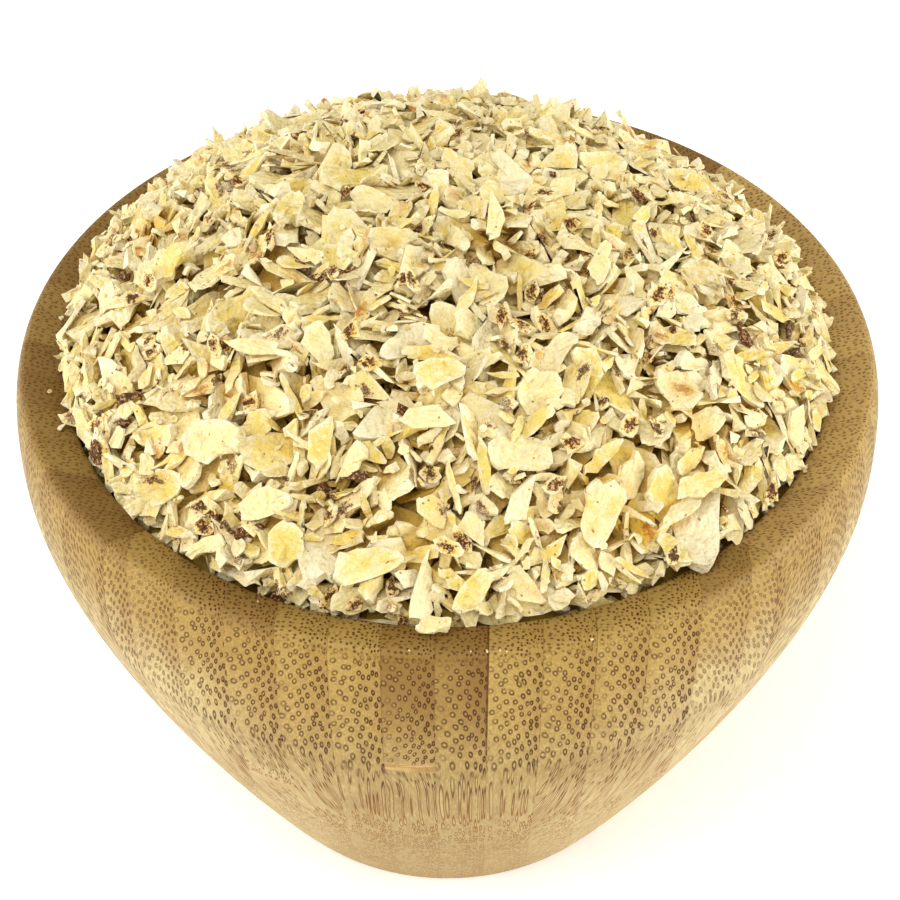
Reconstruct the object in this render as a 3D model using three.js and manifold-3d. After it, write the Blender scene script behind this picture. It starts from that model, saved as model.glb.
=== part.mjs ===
// A turned bamboo bowl heaped with tiger nut flakes.
// Millimetres, +Z up. The origin is the middle of the bowl's foot, on the surface it stands on.
// The bowl is one turned piece. The heap is one piece too: a packed core that fills the bowl and
// domes over its rim, with the largest of the flakes that show lying in its top.

import * as THREE from 'three';
import { mergeVertices } from 'three/addons/utils/BufferGeometryUtils.js';
import Module from 'manifold-3d';

const wasm = await Module();
wasm.setup();

// ---- driving dimensions of the bowl -------------------------------------------------------
const BELLY_RADIUS = 60.5;         // widest point of the outside, a little under the rim
const BELLY_HEIGHT = 71.0;
const BELLY_REACH = 17.5;          // the wall is already upright this far below the belly
const FOOT_RADIUS = 34.0;          // edge of the foot, where the wall starts
const FOOT_EASE = 0.6;             // the foot's edge is eased by this much
const WALL_LEAN = THREE.MathUtils.degToRad(29.8); // lean of the wall just above the foot
const WALL_LEAN_REACH = 8.74;      // how far the wall keeps that lean
const RIM_CREST_RADIUS = 58.4;     // highest line of the rim
const RIM_CREST_HEIGHT = 82.8;
const RIM_SHOULDER = [1.5, 0.6];   // how far outside and below the crest the rim turns over
const MOUTH_RADIUS = 52.7;         // inner edge of the rim, lower than its crest
const MOUTH_HEIGHT = 81.1;
const MOUTH_EASE = 0.5;
const FLOOR_HEIGHT = 9.5;          // wood left under the hollow
const FLOOR_RADIUS = 18.0;         // flat middle of the hollow
const FLOOR_BEND = 16.0;           // how far past it the floor still runs nearly flat
const HOLLOW_TAPER = 0.3;          // the hollow is this much narrower below its mouth
const HOLLOW_BEND_HEIGHT = 40.3;   // the hollow's side is upright from about here

// ---- driving dimensions of the heap -------------------------------------------------------
const HEAP_GAP = 0.35;             // air between the heap's core and the hollow
const PIECE_GAP = 0.45;            // air between a flake and the wood
const FILL_HEIGHT = 79.6;          // where the core meets the hollow's side
const DOME_RISE = 24.0;            // the core's top above that
const DOME_POWER = 2.6;            // above 2: steep near the rim, flat on top
const DOME_UNEVEN = 0.7;           // how far the core's top rises and dips
const SWELL_LENGTHS = [30, 37, 17]; // how far apart its rises lie, along X, along Y and across
const EDGE_MARGIN = 1.2;           // the outermost flakes are centred this far inside the core
const STEEPEST_LAY = THREE.MathUtils.degToRad(36); // flakes by the rim lie no steeper than this
const EDGE_SUNK = 0.3;             // how deep the low edge of a flake lies in the core
const SLIVER_WIDTH = 3.0;          // a chip narrower than this has four corners, others five
const CORNER_WANDER = 0.55;        // how unevenly a flake's corners are spread, of their spacing
const CORNER_REACH = [0.9, 1.1];   // how far out they lie, of half its length and width
const RING_WANDER = 0.4;           // how unevenly the flakes share out the dome, of one share
const KIND_TURN = 1.9;             // turns each kind against the last, in radians
const FLAKE_SEED = 20517;

// Kinds of flake that show, largest first: how many, length, width, thickness, tilt in degrees.
const FLAKE_KINDS = [
  { count: 66, length: [9.0, 11.6], width: [5.6, 7.8], thick: [0.9, 1.2], tilt: [4, 26] },
  { count: 88, length: [6.6, 8.8], width: [3.8, 5.4], thick: [0.9, 1.1], tilt: [6, 40] },
  { count: 50, length: [6.0, 9.0], width: [1.8, 2.8], thick: [0.9, 1.2], tilt: [4, 32] },
];

// ---- how finely the pieces are cut --------------------------------------------------------
const TURN_STEPS = 56;
const WALL_STEPS = 9;
const RIM_STEPS = 4;
const HOLLOW_STEPS = 7;
const DOME_STEPS = 8;
const SMALLEST_EDGE = 0.12;        // what fusing leaves finer than this is smoothed away
const SAME_POINT = 1e-5;

// ---- helpers ------------------------------------------------------------------------------
function seededRandom(seed) {
  let state = seed;
  return () => {
    state = (state + 0x6D2B79F5) | 0;
    let mixed = Math.imul(state ^ (state >>> 15), 1 | state);
    mixed = (mixed + Math.imul(mixed ^ (mixed >>> 7), 61 | mixed)) ^ mixed;
    return ((mixed ^ (mixed >>> 14)) >>> 0) / 2 ** 32;
  };
}

function between(random, [low, high]) {
  return low + (high - low) * random();
}

function point(radius, height) {
  return new THREE.Vector2(radius, height);
}

function toSolid(geometry) {
  const plain = geometry.clone();
  plain.deleteAttribute('normal');
  plain.deleteAttribute('uv');
  const merged = mergeVertices(plain, SAME_POINT);
  return new wasm.Manifold(new wasm.Mesh({
    numProp: 3,
    vertProperties: new Float32Array(merged.attributes.position.array),
    triVerts: new Uint32Array(merged.index.array),
  }));
}

function toGeometry(solid) {
  const mesh = solid.getMesh();
  const geometry = new THREE.BufferGeometry();
  geometry.setAttribute('position', new THREE.BufferAttribute(mesh.vertProperties, 3));
  geometry.setIndex(new THREE.BufferAttribute(mesh.triVerts, 1));
  geometry.computeVertexNormals();
  return geometry;
}

// Turns a closed profile of (radius, height) points round the bowl's axis.
function turned(profile) {
  const lathe = new THREE.LatheGeometry(profile, TURN_STEPS);
  lathe.rotateX(Math.PI / 2);
  return lathe;
}

// ---- bowl ---------------------------------------------------------------------------------
function outerWall() {
  const start = point(FOOT_RADIUS, FOOT_EASE);
  const leaning = point(
    FOOT_RADIUS + WALL_LEAN_REACH * Math.sin(WALL_LEAN),
    FOOT_EASE + WALL_LEAN_REACH * Math.cos(WALL_LEAN),
  );
  const upright = point(BELLY_RADIUS, BELLY_HEIGHT - BELLY_REACH);
  const belly = point(BELLY_RADIUS, BELLY_HEIGHT);
  return new THREE.CubicBezierCurve(start, leaning, upright, belly).getPoints(WALL_STEPS);
}

function rimRound() {
  const belly = point(BELLY_RADIUS, BELLY_HEIGHT);
  const above = point(BELLY_RADIUS, (BELLY_HEIGHT + RIM_CREST_HEIGHT) / 2);
  const shoulder = point(RIM_CREST_RADIUS + RIM_SHOULDER[0], RIM_CREST_HEIGHT - RIM_SHOULDER[1]);
  const crest = point(RIM_CREST_RADIUS, RIM_CREST_HEIGHT);
  return new THREE.CubicBezierCurve(belly, above, shoulder, crest).getPoints(RIM_STEPS);
}

// The hollow from its floor up to the inner edge of the rim, drawn in by a clearance.
function hollowWall(clearance) {
  const floor = point(FLOOR_RADIUS, FLOOR_HEIGHT + clearance);
  const bend = point(FLOOR_RADIUS + FLOOR_BEND, FLOOR_HEIGHT + clearance);
  const side = point(MOUTH_RADIUS - HOLLOW_TAPER - clearance, HOLLOW_BEND_HEIGHT);
  const mouth = point(MOUTH_RADIUS - clearance, MOUTH_HEIGHT - MOUTH_EASE);
  return new THREE.CubicBezierCurve(floor, bend, side, mouth).getPoints(HOLLOW_STEPS);
}

function bowlGeometry() {
  const outside = [
    point(0, 0),
    point(FOOT_RADIUS - FOOT_EASE, 0),
    ...outerWall(),
    ...rimRound().slice(1),
    point(MOUTH_RADIUS + MOUTH_EASE, MOUTH_HEIGHT),
  ];
  const inside = hollowWall(0).reverse();
  return turned([...outside, ...inside, point(0, FLOOR_HEIGHT)]);
}

// ---- heap ---------------------------------------------------------------------------------
const CORE_RADIUS = MOUTH_RADIUS - HEAP_GAP;

function domeHeight(radius) {
  const share = Math.min(radius / CORE_RADIUS, 1);
  return FILL_HEIGHT + DOME_RISE * (1 - share ** DOME_POWER);
}

function domeSlope(radius) {
  const share = Math.min(radius / CORE_RADIUS, 1);
  return (DOME_RISE * DOME_POWER * share ** (DOME_POWER - 1)) / CORE_RADIUS;
}

function unevenness(x, y) {
  const [alongX, alongY, across] = SWELL_LENGTHS.map((length) => (2 * Math.PI) / length);
  const broad = Math.sin(x * alongX + 1) * Math.cos(y * alongY - 1);
  const small = Math.sin((y + x / 3) * across);
  return DOME_UNEVEN * (broad + small / 2);
}

function coreGeometry() {
  const side = hollowWall(HEAP_GAP).filter((place) => place.y < FILL_HEIGHT - 1);
  const profile = [point(0, FLOOR_HEIGHT + HEAP_GAP), ...side, point(CORE_RADIUS, FILL_HEIGHT)];
  for (let step = DOME_STEPS - 1; step >= 0; step -= 1) {
    const radius = CORE_RADIUS * Math.sin((Math.PI / 2) * (step / DOME_STEPS));
    profile.push(point(radius, domeHeight(radius)));
  }
  const core = turned(profile);
  const position = core.attributes.position;
  for (let i = 0; i < position.count; i += 1) {
    const [x, y, z] = [position.getX(i), position.getY(i), position.getZ(i)];
    if (z > FILL_HEIGHT + 1) {
      position.setZ(i, z + unevenness(x, y));
    }
  }
  return core;
}

// What a flake must leave free: the upper wood, grown by the gap that a flake keeps to it.
function keepClearSolid() {
  const inner = MOUTH_RADIUS - PIECE_GAP;
  const outer = BELLY_RADIUS + PIECE_GAP;
  const profile = [
    point(inner, HOLLOW_BEND_HEIGHT),
    point(outer, HOLLOW_BEND_HEIGHT),
    point(outer, RIM_CREST_HEIGHT + PIECE_GAP),
    point(RIM_CREST_RADIUS, RIM_CREST_HEIGHT + PIECE_GAP),
    point(MOUTH_RADIUS, MOUTH_HEIGHT + PIECE_GAP),
    point(inner, MOUTH_HEIGHT),
    point(inner, HOLLOW_BEND_HEIGHT),
  ];
  return toSolid(turned(profile));
}

// One flake: a thin chip with an uneven outline, lying in its own XY plane.
function flakeGeometry(random, length, width, thick) {
  const corners = width > SLIVER_WIDTH ? 5 : 4;
  const outline = [];
  for (let corner = 0; corner < corners; corner += 1) {
    const angle = ((corner + CORNER_WANDER * (random() - 0.5)) / corners) * Math.PI * 2;
    const reach = between(random, CORNER_REACH) / 2;
    outline.push(point(length * reach * Math.cos(angle), width * reach * Math.sin(angle)));
  }
  const chip = new THREE.ExtrudeGeometry(new THREE.Shape(outline), {
    depth: thick,
    bevelEnabled: false,
    steps: 1,
  });
  chip.translate(0, 0, -thick / 2);
  return chip;
}

// Where a flake lies: turned about the bowl's axis, out on the dome, laid to its slope, then
// spun in its own plane and tilted so that one long edge stands up.
function flakePlace(random, turn, radius, lift, tilt) {
  const slope = Math.min(Math.atan(domeSlope(radius)), STEEPEST_LAY);
  return new THREE.Matrix4()
    .makeRotationZ(turn)
    .multiply(new THREE.Matrix4().makeTranslation(radius, 0, domeHeight(radius)))
    .multiply(new THREE.Matrix4().makeRotationY(slope))
    .multiply(new THREE.Matrix4().makeRotationZ(random() * Math.PI * 2))
    .multiply(new THREE.Matrix4().makeTranslation(0, 0, lift))
    .multiply(new THREE.Matrix4().makeRotationX(tilt));
}

// Spreads the flakes over the dome: even shares of its area, each a golden angle further round.
function flakeSolids() {
  const random = seededRandom(FLAKE_SEED);
  const goldenAngle = Math.PI * (3 - Math.sqrt(5));
  const solids = [];
  FLAKE_KINDS.forEach((kind, kindIndex) => {
    for (let i = 0; i < kind.count; i += 1) {
      const length = between(random, kind.length);
      const width = between(random, kind.width);
      const thick = between(random, kind.thick);
      const tilt = THREE.MathUtils.degToRad(between(random, kind.tilt));
      const share = (i + 0.5 + RING_WANDER * (random() - 0.5)) / kind.count;
      const radius = (CORE_RADIUS - EDGE_MARGIN) * Math.sqrt(share);
      const turn = i * goldenAngle + kindIndex * KIND_TURN;
      const lift = thick / 2 + (width / 2) * Math.sin(tilt) - EDGE_SUNK;
      const chip = flakeGeometry(random, length, width, thick);
      chip.applyMatrix4(flakePlace(random, turn, radius, lift, tilt));
      solids.push(toSolid(chip));
    }
  });
  return solids;
}

// The core and its flakes in one. A scrap cut loose is dropped and a sealed hollow is filled.
function heapGeometry() {
  const keepClear = keepClearSolid();
  let heap = toSolid(coreGeometry());
  for (const flake of flakeSolids()) {
    heap = heap.add(flake.subtract(keepClear));
  }
  const bodies = heap.simplify(SMALLEST_EDGE).decompose();
  bodies.sort((a, b) => b.volume() - a.volume());
  return toGeometry(bodies[0]);
}

// ---- the object ---------------------------------------------------------------------------
const bambooFinish = new THREE.MeshStandardMaterial({ color: 0xC8A268, roughness: 0.55, metalness: 0 });
const flakeFinish = new THREE.MeshStandardMaterial({ color: 0xEFE3B4, roughness: 0.8, metalness: 0 });

const bowl = new THREE.Mesh(bowlGeometry(), bambooFinish);
bowl.name = 'bowl';

const flakes = new THREE.Mesh(heapGeometry(), flakeFinish);
flakes.name = 'flakes';

const group = new THREE.Group();
group.add(bowl);
group.add(flakes);

export default group;
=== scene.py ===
"""A turned bamboo bowl heaped with tiger nut flakes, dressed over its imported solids."""
import math

import bpy
import numpy as np
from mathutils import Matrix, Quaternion, Vector


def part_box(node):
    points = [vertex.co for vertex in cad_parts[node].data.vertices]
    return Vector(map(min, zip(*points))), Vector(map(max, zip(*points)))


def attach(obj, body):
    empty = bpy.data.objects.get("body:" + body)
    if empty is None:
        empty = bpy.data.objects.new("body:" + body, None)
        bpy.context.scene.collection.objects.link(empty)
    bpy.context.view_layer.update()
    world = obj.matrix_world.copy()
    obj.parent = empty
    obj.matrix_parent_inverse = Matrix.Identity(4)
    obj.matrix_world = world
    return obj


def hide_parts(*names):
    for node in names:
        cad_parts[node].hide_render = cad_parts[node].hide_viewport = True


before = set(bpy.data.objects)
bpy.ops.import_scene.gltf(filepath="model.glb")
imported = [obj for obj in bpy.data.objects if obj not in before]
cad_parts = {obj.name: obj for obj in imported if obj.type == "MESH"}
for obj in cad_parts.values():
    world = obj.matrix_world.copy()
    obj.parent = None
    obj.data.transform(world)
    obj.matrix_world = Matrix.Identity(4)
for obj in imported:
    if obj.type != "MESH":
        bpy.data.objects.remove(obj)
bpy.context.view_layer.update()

MM = 0.001

# ---- sizes, in millimetres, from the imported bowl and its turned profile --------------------
BOWL_LOW, BOWL_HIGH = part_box("bowl")
BELLY_RADIUS = (BOWL_HIGH[0] - BOWL_LOW[0]) / 2 / MM
CREST_HEIGHT = BOWL_HIGH[2] / MM
BELLY_HEIGHT = CREST_HEIGHT - 11.8  # where the bowl is widest
BELLY_REACH = 17.5         # how far below that the wall starts to turn in
FOOT_RADIUS = 34.0
FOOT_EASE = 0.6            # rounding of the foot's edge
WALL_LEAN = math.radians(29.8)
WALL_LEAN_REACH = 8.74     # how far up from the foot the wall keeps its lean
CREST_RADIUS = BELLY_RADIUS - 2.1
SHOULDER_OUT, SHOULDER_DOWN = 1.5, 0.6      # how full the shoulder under the crest is
MOUTH_RADIUS = 52.7
MOUTH_HEIGHT = CREST_HEIGHT - 1.7
MOUTH_EASE = 0.5
FLOOR_HEIGHT = 9.5
FLOOR_RADIUS = 18.0
FLOOR_BEND = 16.0          # how far out the hollow's floor runs before it turns up
HOLLOW_TAPER = 0.3         # how much narrower the hollow is where its wall straightens
HOLLOW_BEND_HEIGHT = 40.3
TURN_STEPS = 160           # flats round the turned pieces
CORE_GAP = 0.35            # between the heap's core and the wood

# The heap's outer face, as the photograph shows it.
HEAP_EDGE_HEIGHT = MOUTH_HEIGHT + 0.9
HEAP_RISE = 23.0           # from the heap's edge to its top
HEAP_POWER = 2.6           # how much flatter than a cone the heap is
HEAP_RADIUS = MOUTH_RADIUS - 0.1
SPILL_LEFT = 3.0           # how far the heap spills over the rim on the left and behind
SPILL_RIGHT = 0.4
SPILL_FRONT = 0.5
COVER_DEPTH = 5.2          # thickness of loose flakes over the heap's packed core

# ---- small helpers --------------------------------------------------------------------------


def deselect_all():
    if bpy.context.object and bpy.context.object.mode != "OBJECT":
        bpy.ops.object.mode_set(mode="OBJECT")
    bpy.ops.object.select_all(action="DESELECT")


def curve_points(points, steps):
    """Points along a cubic Bezier curve in (radius, height), ends included."""
    p0, p1, p2, p3 = [np.array(p, float) for p in points]
    t = np.linspace(0, 1, steps + 1)[:, None]
    return (1 - t) ** 3 * p0 + 3 * (1 - t) ** 2 * t * p1 + 3 * (1 - t) * t ** 2 * p2 + t ** 3 * p3


def finish_piece(piece, material):
    """Gives a finished piece its material and lets it ride with the bowl."""
    piece.data.materials.clear()
    piece.data.materials.append(material)
    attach(piece, "root")


# ---- shader helpers -------------------------------------------------------------------------


class Value:
    """What a node gives. Sums, products and comparisons of values are nodes again."""

    def __init__(self, shader, socket):
        self.shader = shader
        self.socket = socket

    def __add__(self, other):
        return self.shader.math("ADD", self, other)

    def __sub__(self, other):
        return self.shader.math("SUBTRACT", self, other)

    def __rsub__(self, other):
        return self.shader.math("SUBTRACT", other, self)

    def __mul__(self, other):
        return self.shader.math("MULTIPLY", self, other)

    def __truediv__(self, other):
        return self.shader.math("DIVIDE", self, other)

    def __gt__(self, other):
        return self.shader.math("GREATER_THAN", self, other)

    def __lt__(self, other):
        return self.shader.math("LESS_THAN", self, other)

    def __abs__(self):
        return self.shader.math("ABSOLUTE", self)

    __radd__ = __add__
    __rmul__ = __mul__


class Shader:
    """A material's node tree with short calls for the nodes used here."""

    def __init__(self, name):
        self.material = bpy.data.materials.new(name)
        self.material.use_nodes = True
        self.tree = self.material.node_tree
        self.tree.nodes.clear()
        self.output = self.tree.nodes.new("ShaderNodeOutputMaterial")

    def node(self, kind, **settings):
        made = self.tree.nodes.new(kind)
        for key, value in settings.items():
            setattr(made, key, value)
        return made

    def plug(self, sockets, *values):
        """Links each socket to another node's output, or sets its plain value."""
        for socket, value in zip(sockets, values):
            if isinstance(value, Value):
                self.tree.links.new(value.socket, socket)
            else:
                socket.default_value = value

    def made_by(self, made, *values, output=0):
        """Feeds a node and gives what comes out of it."""
        self.plug(made.inputs, *values)
        return Value(self, made.outputs[output])

    def math(self, operation, *values):
        return self.made_by(self.node("ShaderNodeMath", operation=operation), *values)

    def most(self, first, second):
        return self.math("MAXIMUM", first, second)

    def ramp(self, value, low, high, to_low=0.0, to_high=1.0, smooth=True):
        """Runs from to_low to to_high while the value runs from low to high."""
        made = self.node("ShaderNodeMapRange")
        made.interpolation_type = "SMOOTHSTEP" if smooth else "LINEAR"
        made.clamp = True
        return self.made_by(made, value, low, high, to_low, to_high)

    def mix(self, share, first, second):
        made = self.node("ShaderNodeMix", data_type="RGBA")
        self.plug([made.inputs[slot] for slot in (0, 6, 7)], share, first, second)
        return Value(self, made.outputs[2])

    def mix_value(self, share, first, second):
        made = self.node("ShaderNodeMix", data_type="FLOAT")
        self.plug([made.inputs[slot] for slot in (0, 2, 3)], share, first, second)
        return Value(self, made.outputs[0])

    def layers(self, body, *layers):
        """Lays colours over a first one, each as far as its share."""
        for color, share in layers:
            body = self.mix(share, body, color)
        return body

    def combine(self, x, y, z):
        return self.made_by(self.node("ShaderNodeCombineXYZ"), x, y, z)

    def split(self, vector):
        made = self.node("ShaderNodeSeparateXYZ")
        self.plug(made.inputs, vector)
        return [Value(self, output) for output in made.outputs]

    def length(self, vector):
        return self.made_by(self.node("ShaderNodeVectorMath", operation="LENGTH"), vector, output="Value")

    def scaled(self, vector, scale):
        made = self.node("ShaderNodeVectorMath", operation="SCALE")
        self.plug((made.inputs[0], made.inputs["Scale"]), vector, scale)
        return Value(self, made.outputs[0])

    def turned(self, vector, angle):
        """A place turned round the z axis."""
        made = self.node("ShaderNodeVectorRotate", rotation_type="Z_AXIS")
        self.plug((made.inputs["Vector"], made.inputs["Angle"]), vector, angle)
        return Value(self, made.outputs[0])

    def noise(self, vector, scale, detail=2.0, roughness=0.5):
        made = self.node("ShaderNodeTexNoise")
        sockets = [made.inputs[name] for name in ("Vector", "Scale", "Detail", "Roughness")]
        self.plug(sockets, vector, scale, detail, roughness)
        return Value(self, made.outputs["Fac"])

    def cells(self, vector, scale, randomness=1.0, flat=False):
        """Scattered points: how far the nearest one is, and a random number of its own."""
        made = self.node("ShaderNodeTexVoronoi", voronoi_dimensions="2D" if flat else "3D")
        sockets = [made.inputs[name] for name in ("Vector", "Scale", "Randomness")]
        self.plug(sockets, vector, scale, randomness)
        return Value(self, made.outputs["Distance"]), self.split(Value(self, made.outputs["Color"]))[0]

    def luck(self, number):
        """A random number that belongs to a number."""
        made = self.node("ShaderNodeTexWhiteNoise", noise_dimensions="1D")
        self.plug([made.inputs["W"]], number)
        return Value(self, made.outputs["Value"])

    def attribute(self, name, output):
        made = self.node("ShaderNodeAttribute", attribute_name=name)
        return Value(self, made.outputs[output])

    def millimetres(self):
        """Object coordinates in millimetres."""
        place = self.node("ShaderNodeTexCoord")
        return self.scaled(Value(self, place.outputs["Object"]), 1 / MM)

    def surface(self, color, roughness, bump=None, bump_strength=0.3, bump_distance=0.0001, **plain):
        shader = self.node("ShaderNodeBsdfPrincipled")
        self.plug((shader.inputs["Base Color"], shader.inputs["Roughness"]), color, roughness)
        for name, value in plain.items():
            shader.inputs[name.replace("_", " ")].default_value = value
        if bump is not None:
            relief = self.node("ShaderNodeBump")
            sockets = [relief.inputs[name] for name in ("Strength", "Distance", "Height")]
            self.plug(sockets, bump_strength, bump_distance, bump)
            self.tree.links.new(relief.outputs[0], shader.inputs["Normal"])
        self.tree.links.new(shader.outputs[0], self.output.inputs["Surface"])
        return self.material


def tint(red, green, blue):
    """A colour given as the eye reads it, 0 to 255, made linear."""
    def linear(value):
        value /= 255
        return value / 12.92 if value <= 0.04045 else ((value + 0.055) / 1.055) ** 2.4
    return (linear(red), linear(green), linear(blue), 1.0)


# ---- bamboo -----------------------------------------------------------------------------------
STRIP_WIDTH = 6.46         # thickness of the glued bamboo strips
STRIP_START = -0.08        # where a joint lies, measured from the bowl's axis
SIDE_SHIFT = 2.6           # how far the joints of the side blocks are out of step with those in front
GRAIN_TURN = math.radians(1.4)
BUNDLE_SPACING = 1.08      # distance between the large fibre bundles on the upper wall
BUNDLE_SCATTER = 0.50      # how unevenly they lie
FINE_SPACING = 0.66        # distance between the small ones on the rim and the lower wall
FINE_SCATTER = 0.75
FLANK_SCALE = 1.30         # how much closer they lie in the strips near the corners of the blocks
FLANK_STRIPS = 5.4         # how many strips from the middle those begin
ROWS_TURN = (math.radians(25), math.radians(65))    # how the rows of bundles lie in a strip
KNOT_HEIGHT = 60.8         # height of the cane's node on the strip left of the middle
KNOT_HEIGHTS = (40.0, 80.0)         # lowest and highest node on the others
KNOT_STRIPS = 3.2          # how many strips from the middle the other nodes begin
KNOT_SWING = 1.1           # how far the fibres swing aside round a node
THREAD_TOP, RING_BOTTOM = 56.0, 60.5    # between these heights rings give way to long threads
FAN_HEIGHT = 60.0          # below it the threads of the outer strips fan out
CANE_LEANS = ((18.0, 44.0, 0.36), (58.0, 64.0, 0.22))    # from height, to height, slope beyond


class Bamboo(Shader):
    """Glued bamboo strips on end: four leaning blocks mitred together, their fibre bundles cut
    as dots on the rim, rings on the upper wall and long threads where the wall follows them."""

    def __init__(self):
        super().__init__("laminated_bamboo")
        self.find_strip()
        self.find_knot()
        self.find_bundles()
        self.cut_bundles()

    def find_strip(self):
        """Which block and strip a place lies in, and how far across the strip."""
        self.x, self.y, self.z = self.split(self.turned(self.millimetres(), GRAIN_TURN))
        self.across = abs(self.x)
        self.along = abs(self.y)
        self.sideways = self.across > self.along
        self.front = (self.y < 0.0) * (1 - self.sideways)
        side = self.mix_value(self.sideways, self.math("SIGN", self.y), self.math("SIGN", self.x))
        self.strip_place = self.mix_value(self.sideways, self.x, self.y + SIDE_SHIFT)
        strips = (self.strip_place - STRIP_START) / STRIP_WIDTH
        self.strip = self.math("FLOOR", strips)
        self.within = self.math("FRACT", strips)
        self.from_middle = self.strip + 0.5
        self.key = self.strip + (self.sideways * 3.7 + side) * 17.3
        self.shade_luck = self.luck(self.key)
        self.turn_luck = self.luck(self.key + 0.37)

    def find_knot(self):
        """A node of the cane across some strips: the fibres swing aside there, round a plain band."""
        self.left_of_middle = self.front * self.math("COMPARE", self.strip, -1.0, 0.2)
        elsewhere = self.ramp(self.turn_luck, 0.0, 1.0, *KNOT_HEIGHTS, smooth=False)
        from_knot = self.z - self.mix_value(self.left_of_middle, elsewhere, KNOT_HEIGHT)
        others = (abs(self.from_middle) > KNOT_STRIPS) * (self.shade_luck > 0.66)
        has_knot = self.most(self.left_of_middle, others)
        self.swing = self.math("EXPONENT", from_knot * from_knot * -0.05) * has_knot * KNOT_SWING
        self.knot = self.ramp(abs(from_knot), 1.7, 0.8) * has_knot

    def cane_lean(self, start, full, slope):
        """How far out a fibre has leant at a height, its slope growing from start to full."""
        share = self.ramp(self.z, start, full, 0.0, 1.0, smooth=False)
        return share * share * (slope * (full - start) / 2) + self.most(self.z - full, 0.0) * slope

    def drawn_out(self, u, v, scale, tall):
        """A place for a pattern that is drawn out along the fibres."""
        return self.combine(u * scale, v * scale, self.z * tall)

    def find_bundles(self):
        """Places among the fibre bundles, which stand upright near the foot, lean out higher up,
        crowd towards each strip's outer side and wander a little."""
        low_lean, high_lean = [self.cane_lean(*lean) for lean in CANE_LEANS]
        self.depth = self.mix_value(self.sideways, self.along, self.across) - (low_lean + high_lean)
        wander = self.noise(self.drawn_out(self.strip_place, self.depth, 0.16, 0.035), 1.0, 1.0)
        sway = (wander - 0.5) * 1.4
        crowded = self.within * 0.74 + self.within * self.within * 0.38
        fan = self.from_middle * -0.09
        fan = self.most(self.math("MINIMUM", fan, 0.25), -0.25) * (abs(fan) > 0.2)
        fan = fan * (self.math("MINIMUM", self.z, FAN_HEIGHT) - FAN_HEIGHT)
        self.bundle_x = crowded * STRIP_WIDTH + self.key * 23.7 + (sway + self.swing) + fan
        self.bundle_y = self.depth + (sway * 0.8 + self.swing)
        self.flank = self.most(self.sideways, abs(self.from_middle) > FLANK_STRIPS)

    def cut_bundles(self):
        """How the bundles show: cut square and small on the rim, as rings on the upper wall, as
        threads lower down, and fainter near the foot, in the cane's soft inner layer."""
        ramp, z, within = self.ramp, self.z, self.within
        from_axis = self.length(self.combine(self.x, self.y, 0.0))
        self.on_rim = ramp(from_axis, CREST_RADIUS + 1.4, CREST_RADIUS + 0.2) * ramp(z, 72.0, 76.0)
        place = self.combine(self.bundle_x, self.bundle_y, 0.0)
        rows = self.turned(place, ramp(self.turn_luck, 0.0, 1.0, *ROWS_TURN))
        rows = self.scaled(rows, self.mix_value(self.flank, 1.0, FLANK_SCALE))
        distance, luck = self.cells(rows, 1 / BUNDLE_SPACING, BUNDLE_SCATTER, flat=True)
        present = ramp(luck + within * 1.6, 0.05, 0.7, 0.25, 1.0)
        eye = ramp(distance, 0.17, 0.08) * ramp(within, 0.4, 1.0, 0.85, 0.25) * (1 - self.flank * 0.7)
        worn = self.noise(self.drawn_out(self.bundle_x, self.bundle_y, 2.2, 1.0), 1.0, 1.0)
        ring = ramp(distance, 0.38, 0.26) * (1 - eye) * present * ramp(worn, 0.34, 0.5, 0.6, 1.0)
        self.eye = eye * present * ramp(z, 58.0, 62.0) * (1 - self.on_rim)

        distance, luck = self.cells(place, 1 / FINE_SPACING, FINE_SCATTER, flat=True)
        thread = ramp(distance, 0.42, 0.32) * (1 - ramp(distance, 0.27, 0.17) * 0.85)
        thread = thread * ramp(luck + within * 0.6, 0.30, 0.62)
        self.pith = ramp(distance, 0.22, 0.10) * ramp(z, 62.0, THREAD_TOP) * ramp(z, 20.0, 40.0)
        self.pith = self.pith * ramp(luck, 0.3, 0.6)
        rim_dot = ramp(distance, 0.38, 0.18) * ramp(luck, 0.05, 0.5, 0.45, 1.0)
        mark = self.mix_value(ramp(z, RING_BOTTOM, THREAD_TOP), ring, thread)
        mark = self.mix_value(self.on_rim, mark, rim_dot)
        mark = mark * ramp(within, 0.0, 0.9, 0.75, 1.0) * ramp(z, 8.0, 46.0, 0.5, 1.0)
        self.dots = mark * (1 - self.knot * 0.85) * (1 - self.flank * 0.25)

    def glue(self):
        """The glue lines between the strips, boldest at the one right of the middle, and the
        mitres between the blocks."""
        ramp, z = self.ramp, self.z
        from_joint = self.math("MINIMUM", self.within, 1 - self.within)
        bold = self.front * self.math("COMPARE", self.strip, 0.0, 0.2)
        bold = bold * ((self.within > 0.5) * ramp(z, 58.0, 68.0))
        strength = ramp(self.turn_luck, 0.3, 1.0, 0.05, 0.45) * ramp(z, 35.0, 62.0, 0.4, 1.0)
        joint = self.most(ramp(from_joint, 0.020, 0.005), bold * ramp(from_joint, 0.06, 0.015))
        mitre = ramp(abs(self.across - self.along), 0.18, 0.06)
        return self.most(joint * self.most(strength, bold * 0.85), mitre * 0.5)

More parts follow.
